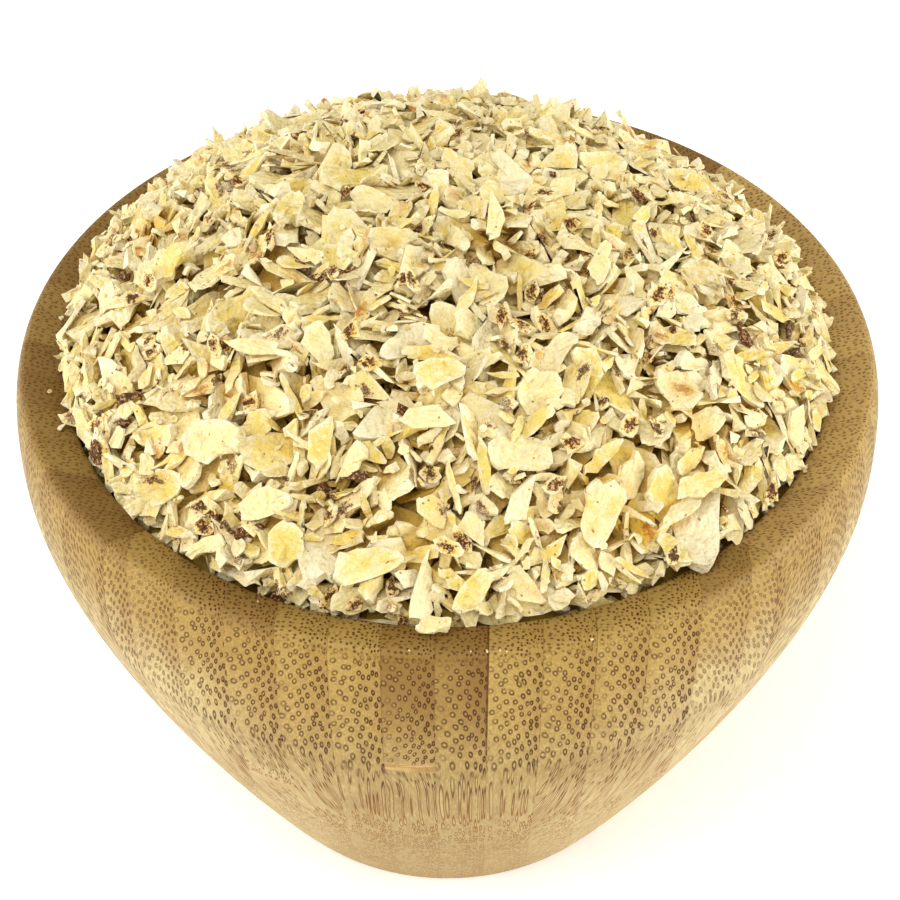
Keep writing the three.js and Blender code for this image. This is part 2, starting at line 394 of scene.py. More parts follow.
    def cane(self, fibre):
        """The cane's colour: browner high up and at each strip's outer side, with clouds, fibres, pores
        and stains, and two dark strips at the front. Painted light makes it paler on the flanks, and
        painted light and shade set the rim's sides apart."""
        ramp, z, within, on_rim = self.ramp, self.z, self.within, self.on_rim
        high = ramp(z, 54.0, 76.0)
        # Painted light: paler towards the left and right flanks and low on the wall off the middle, for
        # the side light and sheen that fall there.
        aside = abs(self.strip_place)
        pale = self.most(self.flank, ramp(aside, 18.0, 38.0))
        pale = self.most(pale, ramp(aside, 8.0, 22.0, 0.0, 0.6) * ramp(z, 58.0, 46.0))
        cloud = self.noise(self.combine(self.strip_place, self.depth, z), 0.06, 1.0, 0.55)
        pores = self.noise(self.drawn_out(self.bundle_x, self.bundle_y, 4.2, 0.5), 1.0, 1.0, 0.7)
        stain = self.noise(self.drawn_out(self.bundle_x, self.bundle_y, 1.0, 0.3), 0.42, 2.0, 0.6)
        heart = (self.strip > -1.5) * (self.strip < 0.5) * self.front
        heart = heart * ramp(z, 64.0, 80.0) * (1 - on_rim * 0.15)
        heart_share = self.mix_value(self.left_of_middle, ramp(within, 0.1, 1.0, 0.45, 0.95), 0.80)
        back = (1 - self.sideways) * (self.y > 0.0)
        left = self.sideways * (self.x < 0.0)
        right = self.sideways * (self.x > 0.0)
        near_rim = self.most(on_rim, ramp(z, 68.0, 80.0) * 0.45)
        return self.layers(
            self.mix(high, tint(177, 150, 86), tint(186, 156, 86)),
            # Painted light: the paler flanks.
            (tint(212, 192, 136), pale * ramp(z, 79.0, 70.0) * 0.85),
            (tint(156, 120, 60), self.shade_luck * high * 0.34),
            (tint(140, 98, 36), ramp(within, 0.3, 1.0) * high * 0.40),
            (tint(152, 114, 50), ramp(cloud, 0.45, 0.75) * 0.35),
            (tint(142, 102, 40), ramp(fibre, 0.42, 0.75) * 0.42),
            (tint(136, 98, 40), ramp(pores, 0.48, 0.70) * 0.35),
            (tint(216, 190, 124), ramp(pores, 0.46, 0.30) * 0.34),
            (tint(144, 106, 50), ramp(stain, 0.48, 0.68) * 0.26),
            (tint(122, 84, 34), heart * heart_share),
            # Darker towards the rim, though hardly on the right side, which is kept light as painted
            # light.
            (tint(162, 132, 68), near_rim * self.mix_value(right, 0.5, 0.05)),
            (tint(116, 80, 38), on_rim * ramp(self.luck(self.key + 0.71), 0.35, 0.75) * 0.44),
            # Painted shade on the rim's face behind and on the left, painted light on its right side.
            (tint(118, 80, 40), on_rim * back * 0.5),
            (tint(196, 162, 100), on_rim * right * 0.5),
            (tint(118, 84, 38), on_rim * left * 0.38))

    def oiled(self):
        """The finished wood: the cane with its knots, bundles and glue lines."""
        fibre = self.noise(self.drawn_out(self.bundle_x, self.bundle_y, 3.4, 0.05), 1.0, 2.0, 0.6)
        lines = self.noise(self.combine(self.strip_place * 0.3, 0.0, self.z * 2.6), 1.0, 1.0)
        knot_color = self.mix(self.ramp(lines, 0.4, 0.6), tint(206, 172, 108), tint(168, 122, 60))
        dot_color = self.mix(self.ramp(self.z, 40.0, 62.0), tint(134, 78, 18), tint(70, 34, 2))
        glue = self.glue()
        body = self.layers(
            self.cane(fibre),
            (knot_color, self.knot * 0.7),
            (dot_color, self.dots * 0.96),
            (tint(222, 186, 120), self.eye * 0.28),
            (tint(226, 196, 138), self.pith * 0.3),
            (tint(90, 52, 16), glue))
        rough = self.ramp(self.dots, 0.0, 1.0, 0.46, 0.7)
        return self.surface(body, rough, fibre * 0.25 - glue, 0.35, 0.00008, Specular_IOR_Level=0.16)


# ---- the bowl ---------------------------------------------------------------------------------


def bowl_profile():
    """The turned section from the middle of the foot, up the outside, over the rim and back."""
    wall = curve_points([
        (FOOT_RADIUS, FOOT_EASE),
        (FOOT_RADIUS + WALL_LEAN_REACH * math.sin(WALL_LEAN),
         FOOT_EASE + WALL_LEAN_REACH * math.cos(WALL_LEAN)),
        (BELLY_RADIUS, BELLY_HEIGHT - BELLY_REACH),
        (BELLY_RADIUS, BELLY_HEIGHT)], 26)
    shoulder = curve_points([
        (BELLY_RADIUS, BELLY_HEIGHT),
        (BELLY_RADIUS, (BELLY_HEIGHT + CREST_HEIGHT) / 2),
        (CREST_RADIUS + SHOULDER_OUT, CREST_HEIGHT - SHOULDER_DOWN),
        (CREST_RADIUS, CREST_HEIGHT)], 12)
    hollow = curve_points([
        (FLOOR_RADIUS, FLOOR_HEIGHT),
        (FLOOR_RADIUS + FLOOR_BEND, FLOOR_HEIGHT),
        (MOUTH_RADIUS - HOLLOW_TAPER, HOLLOW_BEND_HEIGHT),
        (MOUTH_RADIUS, MOUTH_HEIGHT - MOUTH_EASE)], 16)
    foot = [(0.0, 0.0), (FOOT_RADIUS - 8, 0.0), (FOOT_RADIUS - FOOT_EASE, 0.0),
            (FOOT_RADIUS - 0.2, FOOT_EASE * 0.3)]
    rim = [(CREST_RADIUS - 0.7, CREST_HEIGHT - 0.05), (MOUTH_RADIUS + 3, MOUTH_HEIGHT + 0.85),
           (MOUTH_RADIUS + MOUTH_EASE, MOUTH_HEIGHT + 0.1), (MOUTH_RADIUS + 0.15, MOUTH_HEIGHT - 0.12)]
    return [*foot, *wall, *shoulder[1:], *rim, *hollow[::-1], (0.0, FLOOR_HEIGHT)]


def turn_profile(name, profile, material, node):
    """Draws a section by extruding one point along it, spins it round the axis and closes it."""
    deselect_all()
    bpy.ops.mesh.primitive_plane_add(size=MM, location=(0, 0, profile[0][1] * MM))
    piece = bpy.context.object
    piece.name = name
    bpy.ops.object.transform_apply(location=True)
    bpy.ops.object.mode_set(mode="EDIT")
    bpy.ops.mesh.select_all(action="SELECT")
    bpy.ops.mesh.merge(type="CENTER")
    for (from_r, from_h), (to_r, to_h) in zip(profile, profile[1:]):
        step = ((to_r - from_r) * MM, 0.0, (to_h - from_h) * MM)
        bpy.ops.mesh.extrude_region_move(TRANSFORM_OT_translate={"value": step})
    bpy.ops.mesh.select_all(action="SELECT")
    bpy.ops.mesh.spin(steps=TURN_STEPS, angle=2 * math.pi, center=(0, 0, 0), axis=(0, 0, 1))
    bpy.ops.mesh.select_all(action="SELECT")
    bpy.ops.mesh.remove_doubles(threshold=0.00001)
    bpy.ops.mesh.normals_make_consistent(inside=False)
    bpy.ops.object.mode_set(mode="OBJECT")
    bpy.ops.object.shade_smooth_by_angle(angle=math.radians(40))
    finish_piece(piece, material)
    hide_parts(node)
    return piece


# ---- flakes: shapes ----------------------------------------------------------------------------
FLAKE_SEED = 4117

# Kinds of flake: share of all, how many shapes are modelled, length, width and thickness in
# millimetres, corners of the outline, how far they stray, how often and how ragged each side is
# broken, straight broken sides, bend and twist in degrees.
KINDS = {
    "broad": dict(share=0.20, shapes=14, length=(6.6, 11.4), width=(3.8, 6.6), thick=(0.24, 0.44),
                  corners=6, stray=2.4, breaks=2, ragged=0.62, cuts=(0, 2), bend=(10, 56), twist=(0, 26)),
    "narrow": dict(share=0.34, shapes=13, length=(5.0, 10.0), width=(1.9, 3.7), thick=(0.24, 0.42),
                   corners=6, stray=1.6, breaks=2, ragged=0.50, cuts=(0, 2), bend=(8, 50), twist=(0, 34)),
    "sliver": dict(share=0.26, shapes=9, length=(4.4, 9.8), width=(0.9, 2.0), thick=(0.24, 0.46),
                   corners=6, stray=0.7, breaks=1, ragged=0.38, cuts=(0, 1), bend=(6, 40), twist=(0, 46)),
    "bit": dict(share=0.20, shapes=9, length=(1.8, 4.4), width=(1.3, 3.0), thick=(0.26, 0.5),
                corners=5, stray=1.0, breaks=1, ragged=0.45, cuts=(0, 1), bend=(0, 34), twist=(0, 24)),
}
RASTER = 0.25              # pitch of the small height maps of the modelled shapes
SECTORS = 24               # sectors in which a shape's outline is measured
CROWN_RING = 0.60          # ring that carries a flake's crown, as a share of its outline
CROWN_RISE = 0.15          # how far each step of the crown rises, as a share of the thickness
HOLLOW_RISE = 0.10         # the same for the underside
SMALL_WIDTH = 2.5          # flakes narrower than this have no such ring


class Shape:
    """A modelled flake: its mesh as arrays, and a small map of its upper and lower face."""

    def __init__(self, piece):
        mesh = piece.data
        self.points = np.empty(len(mesh.vertices) * 3)
        mesh.vertices.foreach_get("co", self.points)
        self.points = self.points.reshape(-1, 3)
        self.faces = [tuple(face.vertices) for face in mesh.polygons]
        self.low = self.points.min(axis=0)
        self.high = self.points.max(axis=0)
        self.points -= (self.low + self.high) / 2
        self.half = (self.high - self.low) / 2
        self.edge_share = self.measure_edge()
        self.map_faces()

    def measure_edge(self):
        """How far out each point lies, from 0 in the middle to 1 at the outline."""
        turn = np.arctan2(self.points[:, 1], self.points[:, 0])
        reach = np.hypot(self.points[:, 0], self.points[:, 1])
        sector = ((turn + math.pi) / (2 * math.pi) * SECTORS).astype(int) % SECTORS
        outline = []
        for middle in range(SECTORS):
            aside = np.minimum((sector - middle) % SECTORS, (middle - sector) % SECTORS)
            outline.append(max([*reach[aside <= 2], 0.1]))
        return np.clip(reach / np.array(outline)[sector], 0, 1)

    def map_faces(self):
        """Raises a grid of columns through the shape and keeps where each enters and leaves."""
        self.cells = np.ceil(self.half[:2] / RASTER).astype(int) + 1
        size = 2 * self.cells + 1
        self.upper = np.full(size, -np.inf)
        self.lower = np.full(size, np.inf)
        for face in self.faces:
            for corner in range(1, len(face) - 1):
                self.map_triangle(*(self.points[face[k]] for k in (0, corner, corner + 1)))

    def map_triangle(self, a, b, c):
        """Takes one triangle of the shape into its height maps."""
        flat = np.array([a, b, c])[:, :2]
        low = np.floor(flat.min(axis=0) / RASTER).astype(int) + self.cells
        high = np.ceil(flat.max(axis=0) / RASTER).astype(int) + self.cells
        rows, columns = np.meshgrid(np.arange(low[0], high[0] + 1), np.arange(low[1], high[1] + 1),
                                    indexing="ij")
        x = (rows - self.cells[0]) * RASTER
        y = (columns - self.cells[1]) * RASTER
        area = (b[0] - a[0]) * (c[1] - a[1]) - (c[0] - a[0]) * (b[1] - a[1])
        if abs(area) < 1e-6:
            return
        second = ((x - a[0]) * (c[1] - a[1]) - (c[0] - a[0]) * (y - a[1])) / area
        third = ((b[0] - a[0]) * (y - a[1]) - (x - a[0]) * (b[1] - a[1])) / area
        inside = (second >= -0.01) & (third >= -0.01) & (second + third <= 1.01)
        height = a[2] + second * (b[2] - a[2]) + third * (c[2] - a[2])
        rows, columns, height = rows[inside], columns[inside], height[inside]
        np.maximum.at(self.upper, (rows, columns), height)
        np.minimum.at(self.lower, (rows, columns), height)


def model_flake(name, length, width, thick, outline, cuts, bend, twist, seed):
    """Models one flake, one unit to the millimetre: an uneven rounded outline, broken straight
    along its cuts and ragged all round, raised to its thickness, crowned, bent and twisted."""
    corners, stray, breaks, ragged = outline
    weld, wear = min(0.4, width * 0.12), min(0.22, width * 0.06)
    deselect_all()
    bpy.ops.mesh.primitive_circle_add(vertices=corners, radius=0.5, fill_type="NGON")
    piece = bpy.context.object
    piece.name = name
    bpy.ops.object.mode_set(mode="EDIT")
    bpy.ops.mesh.select_all(action="SELECT")
    bpy.ops.transform.resize(value=(length, width, 1), center_override=(0, 0, 0))
    bpy.ops.transform.vertex_random(offset=stray, uniform=0, normal=0, seed=seed)
    bpy.ops.transform.resize(value=(1, 1, 0), center_override=(0, 0, 0))
    bpy.ops.mesh.delete(type="ONLY_FACE")
    bpy.ops.mesh.select_all(action="SELECT")
    bpy.ops.mesh.subdivide(number_cuts=breaks)
    bpy.ops.mesh.vertices_smooth(factor=0.5, repeat=breaks)
    bpy.ops.mesh.edge_face_add()
    for turn, reach in cuts:
        away = (math.cos(turn), math.sin(turn), 0)
        place = (away[0] * reach * length / 2, away[1] * reach * width / 2, 0)
        bpy.ops.mesh.select_all(action="SELECT")
        bpy.ops.mesh.bisect(plane_co=place, plane_no=away, clear_outer=True, threshold=0.001)
    bpy.ops.mesh.select_all(action="SELECT")
    bpy.ops.mesh.remove_doubles(threshold=weld)
    bpy.ops.transform.vertex_random(offset=ragged, uniform=0, normal=0, seed=seed + 1)
    bpy.ops.transform.resize(value=(1, 1, 0), center_override=(0, 0, 0))
    bpy.ops.mesh.extrude_region_move(TRANSFORM_OT_translate={"value": (0, 0, thick)})
    bpy.ops.mesh.select_all(action="SELECT")
    bpy.ops.mesh.normals_make_consistent(inside=False)
    bpy.ops.object.mode_set(mode="OBJECT")
    middle = sum((v.co for v in piece.data.vertices), Vector()) / len(piece.data.vertices)
    bpy.ops.object.mode_set(mode="EDIT")
    select_faces(piece, lambda face: face.normal.z > 0.9)
    if width > SMALL_WIDTH:
        bpy.ops.mesh.extrude_region_move(TRANSFORM_OT_translate={"value": (0, 0, thick * CROWN_RISE)})
        bpy.ops.transform.resize(value=(CROWN_RING, CROWN_RING, 1),
                                 center_override=(middle.x, middle.y, 0))
    bpy.ops.mesh.poke(offset=thick * CROWN_RISE)
    select_faces(piece, lambda face: face.normal.z < -0.9)
    bpy.ops.mesh.poke(offset=thick * HOLLOW_RISE)
    bpy.ops.mesh.select_all(action="SELECT")
    bpy.ops.transform.vertex_random(offset=wear, uniform=0, normal=0, seed=seed + 2)
    bpy.ops.mesh.normals_make_consistent(inside=False)
    bpy.ops.object.mode_set(mode="OBJECT")
    for method, angle, axis in (("BEND", bend, "Y"), ("TWIST", twist, "X")):
        shaper = piece.modifiers.new(method.lower(), "SIMPLE_DEFORM")
        shaper.deform_method = method
        shaper.deform_axis = axis
        shaper.angle = math.radians(angle)
        bpy.ops.object.modifier_apply(modifier=shaper.name)
    return piece


def select_faces(piece, wanted):
    """In edit mode, selects just the faces that wanted says yes to."""
    bpy.ops.mesh.select_mode(type="FACE")
    bpy.ops.mesh.select_all(action="DESELECT")
    bpy.ops.object.mode_set(mode="OBJECT")
    for face in piece.data.polygons:
        face.select = bool(wanted(face))
    bpy.ops.object.mode_set(mode="EDIT")


def remove_piece(piece):
    mesh = piece.data
    bpy.data.objects.remove(piece)
    bpy.data.meshes.remove(mesh)


def model_shapes(rng):
    """Models each kind's shapes once and returns them as arrays, by kind."""
    shapes = {}
    for kind, k in KINDS.items():
        shapes[kind] = []
        for number in range(k["shapes"]):
            turn = rng.uniform(0, 2 * math.pi)
            count = int(rng.integers(k["cuts"][0], k["cuts"][1] + 1))
            if kind == "sliver":      # slivers are broken off across one end
                turn = rng.normal(0, 0.3)
            cuts = [(turn + i * rng.uniform(2.0, 2.9), rng.uniform(0.45, 0.85)) for i in range(count)]
            bend = rng.uniform(*k["bend"]) * rng.choice((-1, 1))
            twist = rng.uniform(*k["twist"]) * rng.choice((-1, 1))
            size = [sum(k[side]) / 2 for side in ("length", "width", "thick")]
            outline = (k["corners"], k["stray"], k["breaks"], k["ragged"])
            piece = model_flake(f"{kind}_{number}", *size, outline, cuts, bend, twist,
                                int(rng.integers(1, 1000)))
            shapes[kind].append(Shape(piece))
            remove_piece(piece)
    return shapes


# ---- flakes: the pile ----------------------------------------------------------------------------
CELL = 0.35                # pitch of the pile's height map
MAP_REACH = 61.0
WOOD_GOAL = 1.2            # how high flakes may lie over the wood of the rim
NO_GOAL = -1.0             # marks where the heap doesn't reach
OUTSIDE = 40               # a flake this far over its goal hangs out past the heap
FEWEST_CELLS = 3           # a flake that covers fewer cells has no place of its own
CLEAR_SHARE = 0.94         # share of a flake that stays clear of those under it; the rest sinks in
MOST_FLAKES = 6000
LEAST_ROOM = 0.4           # the heap is full where there is less room than this
REFUSALS = 110             # places refused in a row, after which the heap is full
WORST = 99                 # score of a flake that hangs out past the heap all over
FLATTEST = 0.22            # a flake stands no steeper than this share of upright
SPREAD = 0.5               # how far a flake strays from the place it is dropped at
OVER_LIMIT = 1.2           # how far a flake may stand out of the heap's face, on average
CLOTH_REACH, CLOTH_EASE = 6, 7      # cells that the cloth over the heap bridges and smooths
BRIGHT_BAND = 5.0          # width of the band along the mouth where light gets in from the side
EDGE_BAND = (3.5, 0.5)     # the heap's edge, from inside the mouth to out on the wood
EDGE_FILL = (1.6, 0.6)     # how far above the heap's edge it is filled, in front and behind
EDGE_ROUNDS = (1500, 500)  # flakes tried at the edge, before and after the clear ones are laid
GAP_TRIES = 1500
CRUMB_TRIES = 900
SIGHT_NEAR, SIGHT_FAR, SIGHT_STEP = 90, 60, 0.1     # where a line of sight is followed


def heap_reach(x, y):
    """How far out the heap lies: level with the mouth in front, over the rim's edge behind, and
    further on the left."""
    behind = np.clip((y + 32) / 22, 0, 1)
    to_left = np.clip(-x / 45, 0, 1)
    return HEAP_RADIUS + SPILL_FRONT + behind * (SPILL_RIGHT + (SPILL_LEFT - SPILL_RIGHT) * to_left)


def heap_height(x, y):
    """The heap's mean outer face over a place in the bowl."""
    share = np.clip(np.hypot(x, y) / heap_reach(x, y), 0, 1)
    swell = np.sin(x / 5.3 + 0.8) * np.cos(y / 6.1 - 0.4) * 0.5 + np.sin((x * 0.7 + y) / 3.4) * 0.3
    return HEAP_EDGE_HEIGHT + HEAP_RISE * (1 - share ** HEAP_POWER) + swell * (1 - share ** 4)


def core_height(radius):
    """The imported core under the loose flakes."""
    share = np.clip(radius / HEAP_RADIUS, 0, 1)
    return HEAP_EDGE_HEIGHT + HEAP_RISE * (1 - share ** HEAP_POWER) - COVER_DEPTH


class Pile:
    """Lets flakes come to rest on each other, over a height map of the heap and the rim."""

    def __init__(self, shapes, rng):
        self.shapes = shapes
        self.rng = rng
        self.placed = []
        self.count = int(2 * MAP_REACH / CELL) + 1
        self.middle = self.count // 2
        line = (np.arange(self.count) - self.middle) * CELL
        self.x, self.y = np.meshgrid(line, line, indexing="ij")
        radius = np.hypot(self.x, self.y)
        self.wood = radius >= MOUTH_RADIUS - 0.25
        rim_share = np.clip((radius - MOUTH_RADIUS) / (CREST_RADIUS - MOUTH_RADIUS), 0, 1)
        rim = MOUTH_HEIGHT + 0.1 + (CREST_HEIGHT - MOUTH_HEIGHT) * rim_share
        self.top = np.where(self.wood, rim, core_height(radius))
        past_heap = radius > heap_reach(self.x, self.y)
        self.goal = np.where(past_heap, NO_GOAL, heap_height(self.x, self.y))
        self.goal = np.where(self.wood & ~past_heap, self.goal + WOOD_GOAL, self.goal)

    def cells_at(self, x, y):
        return tuple(np.rint(np.array(line) / CELL).astype(int) + self.middle for line in (x, y))

    def height_at(self, x, y):
        return float(self.top[self.cells_at(x, y)])

    def roomiest(self, count):
        """Of some random places in the mouth, the one where the pile lies furthest under the
        heap's face, and how far."""
        spread = np.sqrt(self.rng.random(count)) * (MOUTH_RADIUS + SPILL_LEFT - 0.8)
        turns = self.rng.uniform(0, 2 * math.pi, count)
        xs, ys = spread * np.cos(turns), spread * np.sin(turns)
        cells = self.cells_at(xs, ys)
        room = self.goal[cells] - self.top[cells]
        pick = int(np.argmax(room))
        return float(xs[pick]), float(ys[pick]), room[pick]

    def outer_face(self):
        """The heap's finished face as a loose cloth over it would lie."""
        cloth = self.top.copy()
        for spread, reach in ((np.max, CLOTH_REACH), (np.mean, CLOTH_EASE)):
            for axis in (0, 1):
                shifts = range(-reach, reach + 1)
                cloth = spread([np.roll(cloth, shift, axis) for shift in shifts], axis=0)
        return cloth

    def depths(self, cloth, points):
        """How deep points lie in the heap, which is less near the mouth, where light gets in; it sets the
        flakes' painted shade.
        """
        x, y, z = points.T
        inward = (MOUTH_RADIUS + 0.5 - np.hypot(x, y)) / BRIGHT_BAND
        return (cloth[self.cells_at(x, y)] - z) * np.clip(inward, 0.1, 1)

    def window(self, x, y, reach_x, reach_y):
        """The cells of the height map within reach of a place."""
        spans = []
        for place, reach in ((x, reach_x), (y, reach_y)):
            low = max(int(math.ceil((place - reach) / CELL)) + self.middle, 0)
            high = min(int(math.floor((place + reach) / CELL)) + self.middle + 1, self.count)
            spans.append(slice(low, high))
        return tuple(spans)

    def lie(self, x, y, reach):
        """The normal of the plane that the surface round a place comes nearest to."""
        view = self.window(x, y, reach, reach)
        dx, dy, height = self.x[view] - x, self.y[view] - y, self.top[view]
        near = (dx * dx + dy * dy < reach * reach) & ~self.wood[view]
        if near.sum() < 6:
            near = dx * dx + dy * dy < reach * reach
        dx, dy, height = dx[near], dy[near], height[near]
        system = np.array([[np.dot(dx, dx), np.dot(dx, dy), dx.sum()],
                           [np.dot(dx, dy), np.dot(dy, dy), dy.sum()],
                           [dx.sum(), dy.sum(), len(dx)]])
        slope = np.linalg.solve(system, [np.dot(dx, height), np.dot(dy, height), height.sum()])
        normal = np.array([-slope[0], -slope[1], 1.0])
        return normal / np.linalg.norm(normal)

    def settle(self, shape, scale, turn, x, y):
        """Lowers a flake, already turned, until it rests. Gives its height, the cells it covers
        and how high it reaches over them, the gap under it, and how far it passes its goal."""
        reach = (np.abs(turn[:2, 0]) * shape.half[0] * scale[0]
                 + np.abs(turn[:2, 1]) * shape.half[1] * scale[1])
        view = self.window(x, y, reach[0], reach[1])
        dx, dy = self.x[view] - x, self.y[view] - y
        upright = turn[2, 2]
        along = (dx * turn[1, 1] - dy * turn[0, 1]) / upright
        across = (dy * turn[0, 0] - dx * turn[1, 0]) / upright
        column = np.rint(along / scale[0] / RASTER).astype(int) + shape.cells[0]
        row = np.rint(across / scale[1] / RASTER).astype(int) + shape.cells[1]
        columns, rows = shape.upper.shape
        inside = (column >= 0) & (column < columns) & (row >= 0) & (row < rows)
        upper = np.full(dx.shape, -np.inf)
        lower = np.full(dx.shape, np.inf)
        upper[inside] = shape.upper[column[inside], row[inside]]
        lower[inside] = shape.lower[column[inside], row[inside]]
        held = np.isfinite(upper)
        if held.sum() < FEWEST_CELLS:
            return None
        plane = along * turn[2, 0] + across * turn[2, 1]
        faces = (upper, lower) if upright > 0 else (lower, upper)
        high, low = [plane[held] + face[held] * scale[2] / upright for face in faces]
        under = self.top[view][held]
        lift = under - low
        kept_clear = int(len(lift) * CLEAR_SHARE)
        rest = np.partition(lift, kept_clear)[kept_clear]
        on_wood = self.wood[view][held]
        if on_wood.any():
            rest = max(rest, lift[on_wood].max())
        gap = (rest + low - under).mean()
        over = rest + high - self.goal[view][held]
        return rest, (view, held, rest + high), gap, over, on_wood.mean()

    def cover(self, view, held, high):
        """Raises the height map to the top of a flake that has come to rest."""
        patch = self.top[view]
        patch[held] = np.maximum(patch[held], high)

    def place(self, shape, scale, x, y, tries, steep, edge_limit, over_limit=OVER_LIMIT):
        """Tries a few ways for a flake to lie at a place and keeps the one that rests best: close
        on the flakes under it, not past the heap's face, and not far out on the wood."""
        best = None
        normal = self.lie(x, y, max(1.2, 0.8 * float(min(shape.half[:2] * scale[:2]))))
        for _ in range(tries):
            if self.rng.random() < steep:
                tilt = self.rng.uniform(0.6, 1.2)
            else:
                tilt = abs(self.rng.normal(0, 0.23))
            turn = resting_turn(normal, tilt, self.rng)
            if abs(turn[2, 2]) < FLATTEST:
                continue
            spot = (x + self.rng.normal(0, SPREAD), y + self.rng.normal(0, SPREAD))
            found = self.settle(shape, scale, turn, *spot)
            if found is None:
                continue
            rest, covered, gap, over, on_wood = found
            over = np.clip(over[over < OUTSIDE], 0, None)
            if on_wood > edge_limit or (len(over) and over.mean() > over_limit):
                continue
            score = gap + 0.8 * over.mean() + 2.0 * on_wood if len(over) else WORST
            if best is None or score < best[0]:
                best = (score, turn, (*spot, rest), covered)
        if best is None:
            return None
        _, turn, spot, covered = best
        self.cover(*covered)
        return turn, spot

    def any_shape(self, kind):
        """One of the shapes modelled of a kind."""
        return self.shapes[kind][int(self.rng.integers(len(self.shapes[kind])))]

    def drop(self, kind, x, y, **manner):
        """Lets one flake of a kind come to rest, and says whether it did."""
        shape = self.any_shape(kind)
        sides = [KINDS[kind][side] for side in ("length", "width", "thick")]
        size = np.array([self.rng.uniform(*side) for side in sides])
        scale = size / np.array([sum(side) for side in sides]) * 2
        done = self.place(shape, scale, x, y, **manner)
        if done is not None:
            self.placed.append((kind, shape, scale, *done))
        return done is not None

    def seen_at(self, pixel):
        """The place on the pile that a pixel of the photograph shows."""
        toward, up = view_axes()
        across = (pixel[0] - FRAME_PIXELS / 2 + FRAME_OFFSET[0]) / FOCAL_PIXELS
        rise = (FRAME_PIXELS / 2 - pixel[1] + FRAME_OFFSET[1]) / FOCAL_PIXELS
        way = np.array([across, 0, 0]) + up * rise - toward
        reach = np.arange(CAMERA_DISTANCE - SIGHT_NEAR, CAMERA_DISTANCE + SIGHT_FAR, SIGHT_STEP)
        line = np.array([0, 0, CAMERA_AIM_HEIGHT]) + toward * CAMERA_DISTANCE + way * reach[:, None]
        line = line[np.abs(line[:, :2]).max(axis=1) < MAP_REACH - 1]
        below = line[:, 2] <= self.top[self.cells_at(line[:, 0], line[:, 1])]
        return line[int(np.argmax(below)), :2]

    def lay(self, shape, size, pixel, heading, lean):
        """Lays one flake where a pixel shows it, its length along a heading in the frame."""
        x, y = self.seen_at(pixel)
        toward, up = view_axes()
        normal = self.lie(x, y, max(1.5, size[0] * 0.5)) + lean * toward
        normal /= np.linalg.norm(normal)
        heading = math.radians(heading)
        along = np.array([math.cos(heading), 0, 0]) + up * math.sin(heading)
        along -= toward * np.dot(along, normal) / np.dot(toward, normal)
        along /= np.linalg.norm(along)
        turn = np.column_stack([along, np.cross(normal, along), normal])
        scale = np.append(np.array(size) / (2 * shape.half[:2]), 1.0)
        found = self.settle(shape, scale, turn, x, y)
        if found is None:
            return shape, scale, turn, (x, y, self.height_at(x, y) + 0.1)
        rest, covered, *_ = found
        self.cover(*covered)
        return shape, scale, turn, (x, y, rest)


def resting_turn(normal, tilt, rng):
    """A turn that lays a flake on a slope, spun at random, tilted, and either face up."""
    lean = rng.uniform(0, 2 * math.pi)
    turn = Vector((0, 0, 1)).rotation_difference(Vector(normal))
    turn @= Quaternion((math.cos(lean), math.sin(lean), 0), tilt)
    turn @= Quaternion((0, 0, 1), rng.uniform(0, 2 * math.pi))
    if rng.random() < 0.5:
        turn @= Quaternion((1, 0, 0), math.pi)
    return np.array(turn.to_matrix())


def view_axes():
    """The direction towards the camera, and the one that is up in its frame."""
    return (np.array([0, -math.cos(CAMERA_RISE), math.sin(CAMERA_RISE)]),
            np.array([0, math.sin(CAMERA_RISE), math.cos(CAMERA_RISE)]))


def fill_heap(pile, rng):
    """Drops flakes where the heap is lowest until it has reached its outer face."""
    kinds = list(KINDS)
    shares = [KINDS[kind]["share"] for kind in kinds]
    refused = 0
    while len(pile.placed) < MOST_FLAKES and refused < REFUSALS:
        x, y, room = pile.roomiest(20)
        if room < LEAST_ROOM:
            refused += 1
            continue
        kind = kinds[int(rng.choice(len(kinds), p=shares))]
        if kind == "broad" and math.hypot(x, y) > MOUTH_RADIUS - 4 and rng.random() < 0.6:
            kind = "bit"
        edge_limit = 0.45 if y > -20 else (0.4 if rng.random() < 0.2 else 0.22)
        done = pile.drop(kind, x, y, tries=5, steep=0.14, edge_limit=edge_limit)
        refused = 0 if done else refused + 1


def fill_gaps(pile, rng):
    """Lets small flakes fall into the deepest gaps that are left."""
    for _ in range(GAP_TRIES):
        x, y, _ = pile.roomiest(60)
        kind = "bit" if rng.random() < 0.6 else "sliver"
        pile.drop(kind, x, y, tries=3, steep=0.4, edge_limit=0.3)


def fill_edge(pile, rng, count):
    """Fills the heap up to the rim all round, with flakes that may lie partly on the wood."""
    for _ in range(count):
        around = rng.uniform(0, 2 * math.pi)
        radius = rng.uniform(MOUTH_RADIUS - EDGE_BAND[0], MOUTH_RADIUS + EDGE_BAND[1])
        x, y = radius * math.cos(around), radius * math.sin(around)
        if pile.height_at(x, y) < HEAP_EDGE_HEIGHT + EDGE_FILL[0 if y < 0 else 1]:
            kind = ("bit", "sliver", "narrow")[int(rng.integers(3))]
            pile.drop(kind, x, y, tries=4, steep=0.2, edge_limit=0.55)


def drop_crumbs(pile, rng):
    """Lets small crumbs fall all over the finished heap."""
    for _ in range(CRUMB_TRIES):
        x, y, _ = pile.roomiest(3)
        shape = pile.any_shape("bit")
        scale = rng.uniform(0.2, 0.5) * np.array([1.0, rng.uniform(0.7, 1.2), rng.uniform(0.9, 1.6)])
        done = pile.place(shape, scale, x, y, tries=1, steep=0.3, edge_limit=1.0, over_limit=3.0)
        if done is not None:
            pile.placed.append(("crumb", shape, scale, *done))


